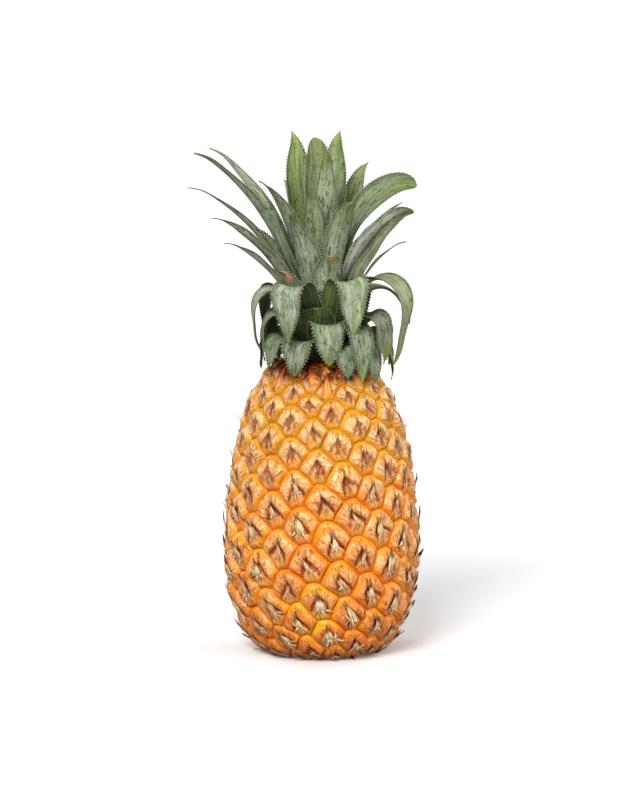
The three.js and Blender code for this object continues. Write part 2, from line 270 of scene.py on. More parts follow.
class Value:
    """A number that a shader socket carries. Sums on it add Math nodes."""

    def __init__(self, surface, socket):
        self.surface = surface
        self.socket = socket

    def math(self, operation, *others):
        sockets = dict(enumerate((self, *others)))
        return self.surface.number("ShaderNodeMath", {"operation": operation}, sockets)

    def between(self, low, high):
        """0 below low, 1 above high and an even S between them; high may be below low."""
        sockets = {"Value": self, "From Min": low, "From Max": high}
        return self.surface.number("ShaderNodeMapRange", {"interpolation_type": "SMOOTHSTEP"}, sockets)

    def __abs__(self):
        return self.math("ABSOLUTE")

    def __add__(self, other):
        return self.math("ADD", other)

    def __sub__(self, other):
        return self.math("SUBTRACT", other)

    def __rsub__(self, other):
        return self.math("MULTIPLY_ADD", -1.0, other)

    def __mul__(self, other):
        return self.math("MULTIPLY", other)

    __radd__ = __add__
    __rmul__ = __mul__


class Surface:
    """A material, with one method that makes any node in it. Its colour is painted on in layers."""

    def __init__(self, name, **constants):
        self.material = bpy.data.materials.new(name)
        self.material.use_nodes = True
        self.tree = self.material.node_tree
        self.tree.nodes.clear()
        self.shader = self.node("ShaderNodeBsdfPrincipled")
        for socket, value in constants.items():
            self.shader.inputs[socket.replace("_", " ")].default_value = value
        self.node("ShaderNodeOutputMaterial", {}, {"Surface": self.shader.outputs[0]})
        self.colour = None

    def feed(self, socket, value):
        """Links a value or another socket to a socket, or sets it to a number, a point or a colour."""
        if isinstance(value, Value):
            value = value.socket
        if isinstance(value, bpy.types.NodeSocket):
            self.tree.links.new(value, socket)
        elif socket.type == "RGBA":
            socket.default_value = (*value, 1.0)
        else:
            socket.default_value = value

    def node(self, kind, settings=None, sockets=None):
        """Any node: its settings are set first, and then the values or links of its sockets."""
        made = self.tree.nodes.new(kind)
        for name, value in (settings or {}).items():
            setattr(made, name, value)
        for name, value in (sockets or {}).items():
            self.feed(made.inputs[name], value)
        return made

    def number(self, kind, settings=None, sockets=None, output=0):
        return Value(self, self.node(kind, settings, sockets).outputs[output])

    def attribute(self, name):
        return self.number("ShaderNodeAttribute", {"attribute_name": name}, output="Fac")

    def place(self):
        """The point on the object, in millimetres."""
        coordinates = self.node("ShaderNodeTexCoord").outputs["Object"]
        sockets = {0: coordinates, 1: (1 / MM, 1 / MM, 1 / MM)}
        return self.node("ShaderNodeVectorMath", {"operation": "MULTIPLY"}, sockets).outputs[0]

    def layout(self, name):
        """The two coordinates of a UV map."""
        return self.parts(self.node("ShaderNodeUVMap", {"uv_map": name}).outputs[0])[:2]

    def point(self, x, y, z=0.0):
        return self.node("ShaderNodeCombineXYZ", {}, {0: x, 1: y, 2: z}).outputs[0]

    def parts(self, vector):
        split = self.node("ShaderNodeSeparateXYZ", {}, {0: vector})
        return [Value(self, output) for output in split.outputs]

    def noise(self, vector, scale, detail, roughness=0.5):
        sockets = {"Vector": vector, "Scale": scale, "Detail": detail, "Roughness": roughness}
        return self.number("ShaderNodeTexNoise", {}, sockets)

    def spots(self, vector, scale):
        """The distance to the nearest of many scattered points."""
        return self.number("ShaderNodeTexVoronoi", {}, {"Vector": vector, "Scale": scale})

    def blend(self, share, first, second):
        """Two colours mixed, from the first at 0 to the second at 1."""
        settings = {"data_type": "RGBA", "clamp_factor": True}
        return self.node("ShaderNodeMix", settings, {0: share, 6: first, 7: second}).outputs[2]

    def paint(self, share, colour):
        """Lays a colour over what is there, from none of it at 0 to all of it at 1."""
        self.colour = self.blend(share, self.colour, colour)

    def finish(self, roughness, relief, depth, coat=0.0):
        """Feeds the shader. Relief is a height from about 0 to 1, and depth its size in millimetres."""
        sockets = {"Height": relief, "Distance": depth * MM, "Strength": 1.0}
        raised = self.node("ShaderNodeBump", {}, sockets).outputs[0]
        finish = {"Base Color": self.colour, "Roughness": roughness, "Coat Weight": coat, "Normal": raised}
        for name, value in finish.items():
            self.feed(self.shader.inputs[name], value)
        return self.material


# ---- Modelling helpers ----


def start(add, **settings):
    """Adds a primitive with nothing else selected and returns it."""
    if bpy.context.mode != "OBJECT":
        bpy.ops.object.mode_set(mode="OBJECT")
    bpy.ops.object.select_all(action="DESELECT")
    add(**settings)
    return bpy.context.object


def flat_grid(columns, rows):
    """A flat grid, and how far each of its points is across it and up it, from 0 to 1."""
    grid = start(bpy.ops.mesh.primitive_grid_add, x_subdivisions=columns, y_subdivisions=rows, size=2.0)
    across, up = (points_of(grid)[:, :2].T + 1) / 2
    return grid, across, up


def points_of(piece):
    flat = np.empty(len(piece.data.vertices) * 3)
    piece.data.vertices.foreach_get("co", flat)
    return flat.reshape(-1, 3)


def move_points(piece, points):
    piece.data.vertices.foreach_set("co", np.ascontiguousarray(points, dtype=np.float32).ravel())
    piece.data.update()


def mark(piece, domain="POINT", **numbers):
    """Sets attributes of a piece: a number for each of its points or faces, or one for all of them."""
    for name, values in numbers.items():
        made = piece.data.attributes.get(name) or piece.data.attributes.new(name, "FLOAT", domain)
        values = np.asarray(values, dtype=np.float32)
        made.data.foreach_set("value", np.broadcast_to(values, len(made.data)).copy())


def set_layout(piece, name, flat):
    """A UV map that gives each corner its point's pair of numbers."""
    layer = piece.data.uv_layers.get(name) or piece.data.uv_layers.new(name=name)
    corners = np.empty(len(piece.data.loops), dtype=np.int32)
    piece.data.loops.foreach_get("vertex_index", corners)
    layer.data.foreach_set("uv", np.ascontiguousarray(flat[corners], dtype=np.float32).ravel())


@contextlib.contextmanager
def editing(piece, action="SELECT", kind=None):
    """Edit mode on a piece, first with all of it selected, or as action says, and in the kind's mode."""
    bpy.context.view_layer.objects.active = piece
    bpy.ops.object.mode_set(mode="EDIT")
    if kind:
        bpy.ops.mesh.select_mode(type=kind)
    if action:
        bpy.ops.mesh.select_all(action=action)
    yield
    bpy.ops.object.mode_set(mode="OBJECT")


def apply_modifier(piece, kind, **settings):
    bpy.context.view_layer.objects.active = piece
    made = piece.modifiers.new(kind.title(), kind)
    for name, value in settings.items():
        setattr(made, name, value)
    bpy.ops.object.modifier_apply(modifier=made.name)


def copy_of(model, points):
    """A copy of a model with a mesh of its own, its points moved."""
    piece = model.copy()
    piece.data = model.data.copy()
    bpy.context.scene.collection.objects.link(piece)
    move_points(piece, points)
    return piece


def join(pieces, name, merge=0.0):
    """Joins pieces into one, closing seams narrower than merge."""
    bpy.ops.object.select_all(action="DESELECT")
    for piece in pieces:
        piece.select_set(True)
    bpy.context.view_layer.objects.active = pieces[0]
    bpy.ops.object.join()
    whole = bpy.context.object
    whole.name = whole.data.name = name
    if merge:
        with editing(whole):
            bpy.ops.mesh.remove_doubles(threshold=merge)
    return whole


def discard(piece):
    mesh = piece.data
    bpy.data.objects.remove(piece)
    bpy.data.meshes.remove(mesh)


def face_outwards(piece):
    """Turns a closed piece's faces outwards, and flips a thin shell that comes out inside out."""
    with editing(piece):
        bpy.ops.mesh.normals_make_consistent(inside=False)
    if volume_of(piece) < 0:
        with editing(piece):
            bpy.ops.mesh.flip_normals()


def volume_of(piece):
    """The space inside a closed piece, negative where its faces point inwards."""
    piece.data.calc_loop_triangles()
    corners = np.empty(len(piece.data.loop_triangles) * 3, dtype=np.int32)
    piece.data.loop_triangles.foreach_get("vertices", corners)
    first, second, third = points_of(piece)[corners.reshape(-1, 3).T]
    return float(np.sum(first * np.cross(second, third))) / 6


def deliver(piece, material, slot, *nodes):
    """Gives a finished piece its material and its place in the frame."""
    piece.data.materials.clear()
    piece.data.materials.append(material)
    for polygon in piece.data.polygons:
        polygon.use_smooth = True
    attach(piece, "root")
    if nodes:
        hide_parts(*nodes)


# ---- The net of eyes ----


def curve_through(knots, steps):
    """Points along a smooth curve through the knots."""
    padded = np.vstack([knots[0], knots, knots[-1]])
    place = np.linspace(0, len(knots) - 1, steps + 1)
    whole = np.minimum(place.astype(int), len(knots) - 2)
    share = (place - whole)[:, None]
    before, first, second, after = (padded[whole + i] for i in range(4))
    leave, arrive = (second - before) / 2, (after - first) / 2
    cubic = (2 * first - 2 * second + leave + arrive) * share**3
    square = (3 * second - 3 * first - 2 * leave - arrive) * share**2
    return cubic + square + leave * share + first


class Net:
    """The spirals of eyes, laid on the fruit's outline. A place on it is (bearing, along): along is the
    distance down the outline divided by the radius there, so that the eyes keep their shape while they
    shrink towards both ends."""

    def __init__(self):
        points = curve_through(np.array(FRUIT_OUTLINE) * MM, OUTLINE_STEPS)
        steps = np.diff(points, axis=0)
        run = np.linalg.norm(steps, axis=1)
        middle = (points[1:, 0] + points[:-1, 0]) / 2
        self.along = np.concatenate([[0], np.cumsum(run / middle)])
        self.radius, self.height = points.T
        tangent = np.gradient(points, axis=0)
        tangent /= np.linalg.norm(tangent, axis=1)[:, None]
        self.out, self.up = -tangent[:, 1], tangent[:, 0]
        self.front = np.interp(-FRONT_EYE_HEIGHT * MM, -self.height, self.along)
        few, many = EYE_STEPS
        both = self.step(few) + self.step(many)
        corners = [self.centre_of(self.step(few), both), self.centre_of(both, self.step(many))]
        owners = [0, 0, -few, -few - many, -few - many, -many]
        offsets = [corners[i % 2] + self.step(owner) for i, owner in enumerate(owners)]
        self.corners = np.array(sorted(offsets, key=lambda c: -math.atan2(c[1], c[0]) % math.tau))
        self.first = math.ceil(-self.front / EYE_DROP) + many
        self.last = math.floor((self.along[-1] - self.front) / EYE_DROP) - many

    def drifted(self, places):
        """The bearing of a place once the spirals have drifted."""
        return places[:, 0] + EYE_DRIFT * (places[:, 1] - self.front) ** 2

    @staticmethod
    def step(count):
        turn = (count * EYE_TURN + 180) % 360 - 180
        return np.array([math.radians(turn), count * EYE_DROP])

    @staticmethod
    def centre_of(a, b):
        """The middle of the circle through two points and the origin."""
        across = 2 * (a[0] * b[1] - a[1] * b[0])
        a2, b2 = a @ a, b @ b
        return np.array([b[1] * a2 - a[1] * b2, a[0] * b2 - b[0] * a2]) / across

    def eye(self, number):
        bearing = math.radians((FRONT_EYE_BEARING + number * EYE_TURN) % 360)
        return np.array([bearing, self.front + number * EYE_DROP])

    def inside(self, x, y):
        """Places within an eye: (x, y) is on a flat hexagon with corners 1 from its middle, x to the right
        and y up, and the answer is the offset on the net from the eye's middle."""
        sixth = math.tau / 6
        number = np.floor((np.arctan2(y, x) % math.tau) / sixth).astype(int) % 6
        start_angle, end_angle = number * sixth, (number + 1) * sixth
        area = np.sin(sixth)
        first = (x * np.sin(end_angle) - y * np.cos(end_angle)) / area
        second = (y * np.cos(start_angle) - x * np.sin(start_angle)) / area
        return first[:, None] * self.corners[number] + second[:, None] * self.corners[(number + 1) % 6]

    @staticmethod
    def unevenness(points):
        """How far points of the skin are moved by its slow, irregular swelling."""
        moved = np.zeros_like(points)
        chance = chance_for("skin")
        for _ in range(SKIN_WAVES):
            direction = chance.normal(size=3)
            direction /= np.linalg.norm(direction)
            wave = direction * math.tau / chance.uniform(*SKIN_WAVE_LENGTHS) / MM
            amount = chance.normal(size=3) * SKIN_WAVE_HEIGHT * MM
            moved += np.sin(points @ wave + chance.uniform(0, math.tau))[:, None] * amount
        return moved * smooth(points[:, 2], 2 * MM, 14 * MM)[:, None]

    def skin(self, places, raised):
        """Points of the skin at these places, raised square off the outline."""
        bearing, along = self.drifted(places), places[:, 1]
        out = np.interp(along, self.along, self.out)
        up = np.interp(along, self.along, self.up)
        radius = np.interp(along, self.along, self.radius) + out * raised
        height = np.interp(along, self.along, self.height) + up * raised
        points = np.stack([radius * np.cos(bearing), radius * np.sin(bearing), height], axis=1)
        return points + self.unevenness(points)

    def scale(self, places):
        """The size of the eyes at some places, as a share of the largest."""
        return np.interp(places[..., 1], self.along, self.radius) / (WIDEST * MM)

    def height_at(self, place):
        return float(np.interp(place[1], self.along, self.height))


net = Net()


# ---- Settings ----


def number(name, description, default, **more):
    return bpy.props.FloatProperty(name=name, description=description, default=default, **more)


def length(name, description, default):
    return number(name, description, default * MM, min=0.0, subtype="DISTANCE", unit="LENGTH")


def colour(name, description, default):
    return bpy.props.FloatVectorProperty(
        name=name, description=description, default=shade(*default), min=0.0, max=1.0, size=3,
        subtype="COLOR")


class PineappleFruitSettings(bpy.types.PropertyGroup):
    """The sizes and colours of the fruit."""

    relief: length("Eye relief", "How far the body of an eye stands out of the grooves round it", 2.4)
    dome: length("Lobe height", "How far the two lobes of an eye bulge further", 1.7)
    pit: length("Gap depth", "How deep the gaps between the bract and the lobes are", 2.3)
    bract: length("Bract length", "Length of the dry tip on the largest eyes", 10.0)
    orange: colour("Orange", "Colour of the ripe rind", (240, 128, 16))
    yellow: colour("Yellow", "Colour of the rind where it is palest", (248, 168, 30))
    olive: colour("Olive", "Colour of the rind near the neck", (224, 160, 28))
    flesh: colour("Scurf", "Colour of the pale scurf on the lobes", (236, 144, 64))
    rust: colour("Rust", "Colour of the dark fibres under a bract", (150, 74, 34))
    straw: colour("Straw", "Colour of the dry bract tips", (244, 204, 146))


class PineappleCrownSettings(bpy.types.PropertyGroup):
    """The sizes and colours of the crown."""

    pitch: length("Spine pitch", "Distance from one spine to the next along a margin", 1.8)
    spine: length("Spine length", "How far the spines stand out of the margin", 1.4)
    green: colour("Green", "Colour of a leaf under its bloom", (42, 62, 28))
    bloom: colour("Bloom", "Colour of the grey bloom", (180, 188, 162))
    ripe: colour("Yellow-green", "Colour of the youngest parts", (146, 170, 84))
    tip: colour("Tip", "Colour of a leaf tip", (140, 152, 66))


class PineappleStudioSettings(bpy.types.PropertyGroup):
    """The camera and the light."""

    lens: number("Focal length", "Focal length of the camera", 300.0, min=50.0, unit="CAMERA")
    elevation: number(
        "Elevation", "How far the camera looks down", math.radians(9.7), subtype="ANGLE", unit="ROTATION")
    view_height: length("View height", "Height of the picture's frame at the fruit", 484.0)
    key: number("Key light", "Strength of the main light", 2.9, min=0.0)
    ambient: number("Surroundings", "Brightness of the white surroundings", 0.4, min=0.0)
    floor: colour("Floor", "Colour of the floor", (250, 250, 250))


# ---- The fruit ----

EYE_SIDES = 24
EYE_RINGS = (1.0, 0.95, 0.87, 0.77, 0.66, 0.55, 0.44, 0.33, 0.22, 0.11)
PIT_SHIFT = 0.08  # how far below the middle of an eye its rings close in
APOTHEM = math.cos(math.tau / 12)
GAP_TOP = 0.24  # where the gaps between the bract and the lobes meet, above the middle of an eye
GAP_SLOPE = 1.2  # how steeply they run down on both sides
SEAM = 0.02  # millimetres within which the points of two eyes are made one
SCALLOP = 0.06  # how far the sides of an eye bow, as a share of its half width
RIM_HEIGHT = 0.5  # millimetres, as are the next three
GROOVE_DEPTH = 0.7
EYE_TILT = 0.6  # how much higher one side of an eye may be than its middle
HALF_EYE = 9


def edge_share(x, y):
    """0 in the middle of a hexagon and 1 along its sides."""
    angles = [math.tau * (i + 0.5) / 6 for i in range(6)]
    return np.max([x * math.cos(a) + y * math.sin(a) for a in angles], axis=0) / APOTHEM


def scalloped(x, y):
    """Bows the sides of a hexagonal eye, its upper three out and its lower three in."""
    sixth = math.tau / 6
    middle = (np.floor(np.arctan2(y, x) / sixth) + 0.5) * sixth
    off = (y * np.cos(middle) - x * np.sin(middle)) * 2
    amount = SCALLOP * (1 - np.clip(off, -1, 1) ** 2) * smooth(edge_share(x, y), 0.5, 1.0)
    upward = np.where(np.sin(middle) > 0, amount, -amount)
    return x + upward * np.cos(middle), y + upward * np.sin(middle)


def eye_model():
    """A flat hexagonal eye, in rings that close in on a point below its middle."""
    eye = start(bpy.ops.mesh.primitive_circle_add, vertices=EYE_SIDES, radius=1.0, fill_type="NGON")
    with editing(eye):
        for wide, narrow in zip(EYE_RINGS, EYE_RINGS[1:]):
            bpy.ops.mesh.inset(thickness=(wide - narrow) * math.cos(math.pi / EYE_SIDES))
        bpy.ops.mesh.poke()
    points = points_of(eye)
    reach = np.hypot(points[:, 0], points[:, 1])
    angle = np.round(np.arctan2(points[:, 1], points[:, 0]) / (math.tau / EYE_SIDES)) * math.tau / EYE_SIDES
    hexagon = APOTHEM / np.cos(angle % (math.tau / 6) - math.tau / 12)
    wide = reach * mix(hexagon, APOTHEM, smooth(reach, 0.98, 0.6))
    points[:, 0] = wide * np.cos(angle)
    points[:, 1] = wide * np.sin(angle) - PIT_SHIFT * smooth(reach, 0.9, 0.0)
    points[:, 2] = 0
    move_points(eye, points)
    mark(eye, edge=edge_share(points[:, 0], points[:, 1]))
    return eye


def eye_lean(number):
    """How an eye's pattern lies on it: the angle that it is turned by, and how far it is aside and up."""
    chance = chance_for("eye_lean", number)
    return chance.uniform(-0.28, 0.28), chance.uniform(-0.12, 0.12), chance.uniform(-0.08, 0.06)


def to_pattern(x, y, number):
    """Places on the flat eye as places on its pattern."""
    turn, aside, rise = eye_lean(number)
    x, y = x - aside, y - rise
    return x * math.cos(turn) + y * math.sin(turn), y * math.cos(turn) - x * math.sin(turn)


def from_pattern(x, y, number):
    """Places on an eye's pattern as places on the flat eye."""
    turn, aside, rise = eye_lean(number)
    return x * math.cos(turn) - y * math.sin(turn) + aside, y * math.cos(turn) + x * math.sin(turn) + rise


def eye_shape(x, y, number, settings):
    """An eye's surface at these places: how far it stands out of the grooves round it, and how much of it
    is one of its two pale lobes."""
    chance = chance_for("eye_shape", number)
    edge = edge_share(x, y)
    low = smooth(y, -0.1, -0.6)
    rim = RIM_HEIGHT * MM * bump(edge, 0.85, 0.1) * mix(0.9, 1, smooth(y, -0.1, 0.3))
    x, y = to_pattern(x, y, number)
    lobe = np.zeros_like(x)
    bulge = np.zeros_like(x)
    for side in (-1, 1):
        across = x - side * chance.uniform(0.39, 0.47)
        along = y - chance.uniform(-0.04, 0.12)
        turn = side * chance.uniform(0.3, 0.6)
        wide = (across * math.cos(turn) + along * math.sin(turn)) / chance.uniform(0.34, 0.42)
        tall = (along * math.cos(turn) - across * math.sin(turn)) / chance.uniform(0.54, 0.68)
        reach = np.hypot(wide, tall)
        lobe = np.maximum(lobe, smooth(reach, 1.25, 0.6))
        bulge = np.maximum(bulge, np.sqrt(np.clip(1.15 - reach**2, 0, 1)) * chance.uniform(0.6, 1.2))
    gap = bump(y + GAP_SLOPE * np.abs(x), GAP_TOP, 0.15) * smooth(np.abs(x), 0.55, 0.35)
    gap = gap * np.where(x < 0, *chance.uniform(0.2, 1.1, 2))
    hollow = bump(np.hypot(x / 0.24, (y - 0.1) / 0.36), 0, 0.9)
    body = settings.dome * bulge - settings.pit * (0.9 * gap + 0.4 * hollow) + rim
    tilt = chance.uniform(-EYE_TILT, EYE_TILT, 2) * MM
    body += x * tilt[0] + y * tilt[1]
    groove = -GROOVE_DEPTH * MM * bump(edge, 1.0, 0.04)
    plateau = settings.relief * (1 - np.clip(edge, 0, 1) ** 6) * mix(1, 0.88, low)
    return plateau + body * smooth(edge, 1.0, 0.8) + groove, lobe


def eye_size(places):
    """How much smaller the relief is where the eyes are smaller."""
    return 0.3 + 0.7 * net.scale(places)


class PINEAPPLE_OT_add_skin(bpy.types.Operator):
    """Model the fruit's skin, a closed net of eyes"""

    bl_idname = "pineapple.add_skin"
    bl_label = "Fruit Skin"

    def execute(self, context):
        settings = context.scene.pineapple_fruit
        model = eye_model()
        flat = points_of(model)
        x, y = flat[:, 0], flat[:, 1]
        inner = net.inside(*scalloped(x, y))
        eyes = []
        for number in range(net.first, net.last + 1):
            places = net.eye(number) + inner
            raised, lobe = eye_shape(x, y, number, settings)
            eye = copy_of(model, net.skin(places, raised * eye_size(places)))
            set_layout(eye, "eye", np.stack(to_pattern(x, y, number), axis=1))
            mark(eye, lobe=lobe)
            mark(eye, "FACE", seed=chance_for("eye_look", number).uniform(0, 1))
            eyes.append(eye)
        discard(model)
        skin = join(eyes, "fruit_skin", merge=SEAM * MM)
        self.close_ends(skin)
        points = points_of(skin)
        points[:, 2] = np.clip(points[:, 2], 0, NECK_HEIGHT * MM)
        move_points(skin, points)
        self.cut_socket(skin)
        deliver(skin, rind_material(settings), "rind", "fruit")
        return {"FINISHED"}

    def close_ends(self, skin):
        """Draws each open end of the net together on the axis."""
        for above in (True, False):
            with editing(skin, "DESELECT", "VERT"):
                bpy.ops.mesh.select_non_manifold()
            high = points_of(skin)[:, 2] > FRONT_EYE_HEIGHT * MM
            for vertex in skin.data.vertices:
                vertex.select = vertex.select and bool(high[vertex.index]) == above
            for edge in skin.data.edges:
                edge.select = edge.select and bool(high[edge.vertices[0]]) == above
            with editing(skin, None, "EDGE"):
                bpy.ops.mesh.extrude_region_move()
                bpy.ops.mesh.merge(type="CENTER")

    def cut_socket(self, skin):
        """Cuts out the room for the stalk."""
        cutter = start(
            bpy.ops.mesh.primitive_cylinder_add, vertices=48, radius=(STALK_RADIUS + GAP) * MM,
            depth=2 * (STALK_DEPTH + GAP) * MM)
        bpy.ops.object.select_all(action="DESELECT")
        skin.select_set(True)
        apply_modifier(skin, "BOOLEAN", operation="DIFFERENCE", object=cutter, solver="EXACT")
        discard(cutter)


def rind_material(settings):
    """Glossy orange rind with two pale mottled lobes on each eye, painted shade in the gaps between them
    and the bract, a painted highlight along each eye's rim, and flakes that fan down from the bract. On the
    layout, x is across an eye and y up it."""
    rind = Surface("pineapple_rind", IOR=1.4, Specular_IOR_Level=0.35, Coat_Roughness=0.18)
    x, y = rind.layout("eye")
    seed, edge, lobe = (rind.attribute(name) for name in ("seed", "edge", "lobe"))
    place = rind.place()
    height = rind.parts(place)[2]
    local = rind.point(x, y, seed * 40)
    aside = abs(x)
    cloud = rind.noise(place, 0.035, 2)
    grain = rind.noise(place, 0.9, 3, 0.65)
    blotch = rind.noise(local, 2.4, 4, 0.65)
    mottle = rind.noise(local, 8.0, 4, 0.7)
    low = (height + cloud * 60).between(110, 40)
    high = (height + cloud * 40).between(110, 160)

    rind.colour = rind.blend((cloud + grain * 0.25).between(0.42, 0.8), settings.orange, settings.yellow)
    rind.paint(high * 0.85, settings.olive)
    rind.paint(low * blotch.between(0.3, 0.6) * 0.8, shade(240, 112, 14))
    patch = rind.number(
        "ShaderNodeVectorMath", {"operation": "DISTANCE"}, {0: place, 1: YELLOW_PATCH}, output="Value")
    rind.paint((patch + blotch * 10).between(26, 12) * 0.8, shade(255, 196, 16))
    # Painted highlight: a brighter yellow-orange band along the rim of each eye, stronger on its upper
    # side.
    rim = edge.between(0.7, 0.85) * edge.between(1.0, 0.9) * (y.between(-0.3, 0.1) * 0.4 + 0.6)
    rind.paint(rim * blotch.between(0.4, 0.6) * 0.5, shade(254, 176, 40))

    # The fan of flakes under the bract.
    down = y * -1 + 0.1
    turn = x.math("ARCTAN2", down)
    reach = (x * x + down * down).math("SQRT")
    fibre = rind.noise(rind.point(turn * 1.9, reach * 0.8, seed * 31), 1.7, 4, 0.7)
    fan = (y + aside * 0.75 + blotch * 0.3).between(0.1, -0.1)
    flesh_part = (edge + mottle * 0.2 + blotch * 0.35 + y.between(0.2, -0.3) * 0.14).between(1.3, 1.13)
    flake = rind.blend(fibre.between(0.42, 0.56), shade(236, 112, 28), shade(250, 194, 130))
    rind.paint(fan * flesh_part * (blotch + mottle * 0.4).between(0.55, 0.72) * 0.85, flake)
    streak = fibre.between(0.57, 0.64) * fan * edge.between(1.0, 0.88)
    rind.paint(streak * 0.7, settings.rust)

    # The lobes, mottled and glossy, browner low on the fruit.
    cover = (lobe + blotch * 1.2 + mottle * 0.5).between(1.02, 1.42)
    pale = rind.blend(mottle.between(0.4, 0.58), settings.flesh, shade(252, 206, 140))
    pale_high = rind.blend(mottle.between(0.4, 0.62), shade(232, 182, 92), shade(250, 226, 180))
    pale = rind.blend(high * 0.7, pale, pale_high)
    pale = rind.blend(blotch.between(0.5, 0.64) * 0.7, pale, shade(230, 122, 44))
    pale = rind.blend(low * mottle.between(0.7, 0.52) * 0.95, pale, shade(226, 112, 16))
    rind.paint(cover * flesh_part * 0.9, pale)
    ray = rind.noise(rind.point(x.math("ARCTAN2", y + 0.5) * 4.0, y * 1.2, seed * 17), 1.8, 4, 0.7)
    line = (ray + mottle * 0.2).between(0.66, 0.72) * edge.between(0.95, 0.75) * (1 - fan)
    rind.paint(line * 0.6, shade(176, 84, 30))

    # Brown in the crease above the bract, partly its dry tissue and partly painted shade; then painted
    # shade, darker, in the gaps beside the bract and in the hollow behind it.
    crease = (aside + mottle * 0.2).between(0.24, 0.1) * (edge + mottle * 0.2).between(0.95, 0.7)
    rind.paint(crease * (1 - fan) * 0.7, rind.blend(ray, shade(116, 56, 20), shade(206, 140, 76)))
    # Painted shade in the gaps between the bract and the lobes: an orange-brown band with a dark core in
    # its middle.
    wedge = y + aside * GAP_SLOPE - GAP_TOP + (blotch - 0.5) * 0.35
    stretch = (aside + blotch * 0.3).between(0.78, 0.6)
    brown = abs(wedge).between(0.3, 0.06) * stretch
    rind.paint(brown * (1 - high * 0.4) * 0.8, shade(196, 84, 20))
    side = rind.noise(rind.point(x.math("SIGN") * 3, seed * 60), 1.0, 0)
    gap = (abs(wedge + 0.04) + mottle * 0.12).between(0.18, 0.09) * stretch
    gap = gap * (side + (blotch - 0.5) * 0.8).between(0.3, 0.62) * (1 - high * 0.6)
    rind.paint(gap * 0.78, rind.blend(seed.between(0.2, 0.8), shade(142, 56, 12), shade(92, 28, 4)))

    # Painted shade in the hollow behind the bract.
    depth = ((x * 4) * (x * 4) + (y - 0.1) * (y - 0.1) * 7).math("SQRT")
    hollow = (depth + blotch + mottle * 0.4).between(1.5, 1.0)
    hollow = hollow * seed.between(-0.3, 0.5) * (1 - high * 0.5)
    rind.paint(hollow * 0.65, shade(128, 48, 14))

    # Dark specks, the grooves between the eyes, and the two ends of the fruit.
    speck = rind.spots(local, 9.0).between(0.26, 0.14) * mottle.between(0.42, 0.56)
    speck = speck * edge.between(0.97, 0.85)
    rind.paint(speck * 0.9, shade(90, 42, 20))
    groove = edge.between(0.93, 1.0)
    rind.paint(groove * (1 - high * 0.6) * 0.75, shade(206, 84, 10))
    rind.paint(groove * high * 0.6, shade(190, 124, 14))
    rind.paint((height + mottle * 6).between(12, 3) * 0.8, shade(96, 44, 18))
    rind.paint((height + mottle * 8).between(173, 180) * 0.9, shade(104, 28, 8))

    roughness = grain * 0.3 + 0.22 + fan * 0.3
    relief = fibre * fan * 0.8 + mottle * 0.5 + blotch * 0.4
    relief = relief - line * 0.3 - (gap + hollow) * 0.8 - speck * 0.3
    coat = mottle.between(0.7, 0.4) * 0.6 * (1 - fan) * (1 - gap) * (1 - hollow)
    return rind.finish(roughness, relief, 1.8, coat)


# ---- The dry bracts on the eyes ----

FRAYED_KINDS = 9  # how many different dry tips there are
FRAYED_FIBRES = 4  # how many loose fibres each one has
BRACT_THICKNESS = 0.06  # in halves of an eye
# Millimetres that the tips and the neck's bracts stand off the rind, arch and are sunk at the root.
TIP_LIFT, TIP_ARCH = 0.7, 0.8
NECK_LIFT, NECK_SINK = 0.6, 1.4
LOWEST_TIP = 0.2
# The heights between which the tips turn long, then wide and then torn, and the neck's bracts longest.
LONG_TIPS = (135, 75)
WIDE_TIPS = (70, 30)
TORN_TIPS = (16, 6)
LONG_NECK_BRACTS = (167, 176)


def strip(root, tip, width, columns, rows, sag=0.0):
    """A flat pointed strip from its root to its tip, x across and y along, that bows sideways by sag."""
    made, across, along = flat_grid(columns, rows)
    across = across * 2 - 1
    points = points_of(made)
    run = np.array([tip[0] - root[0], tip[1] - root[1]])
    square = np.array([run[1], -run[0]]) / np.linalg.norm(run)
    ragged = 1 + 0.25 * np.sin(along * 19 + across * 2 + width * 40) * (np.abs(across) > 0.9)
    half = width * (1 - along + 0.06) * ragged
    aside = across * half + sag * np.sin(along * math.pi / 2) ** 2
    points[:, :2] = np.array(root) + np.outer(along, run) + np.outer(aside, square)
    points[:, 2] = 0
    move_points(made, points)
    return made


def flat_bract(*strips):
    """A bract made of strips, with a little thickness."""
    bract = join([strip(*settings) for settings in strips], "bract")
    flat = points_of(bract)
    set_layout(bract, "blade", flat[:, :2])
    apply_modifier(bract, "SOLIDIFY", thickness=BRACT_THICKNESS, offset=0.0, use_even_offset=False)
    mark(bract, inner=points_of(bract)[:, 2] < 0)
    return bract


def frayed_bract(number):
    """The dry tip of a bract: a ragged pointed body, and loose fibres that hang from it and curl outwards.
    Its lengths are in halves of an eye."""
    draw = chance_for("frayed_bract", number).uniform
    side = 1 - 2 * (number % 2)
    strips = [
        ((0, -0.05), (draw(-0.12, 0.12), draw(0.62, 0.86)), draw(0.15, 0.27), 2, 3,
         side * draw(-0.02, 0.08)),
        ((side * 0.12, 0), (side * draw(0.14, 0.3), draw(0.36, 0.66)), draw(0.05, 0.09), 1, 2),
    ]
    lean = side * draw(0.0, 0.4)
    for angle in np.linspace(-0.65, 0.65, FRAYED_FIBRES) + lean:
        angle += draw(-0.15, 0.15)
        reach = draw(0.26, 0.56)
        root = (0.14 * math.sin(angle), draw(0.04, 0.14))
        tip = (root[0] + reach * math.sin(angle), root[1] - reach * math.cos(angle) - 0.04)
        width, sag = draw(0.035, 0.065), -0.16 * math.sin(angle - lean) * draw(0.4, 1.6)
        strips.append((root, tip, width, 1, 2, sag))
    return flat_bract(*strips)


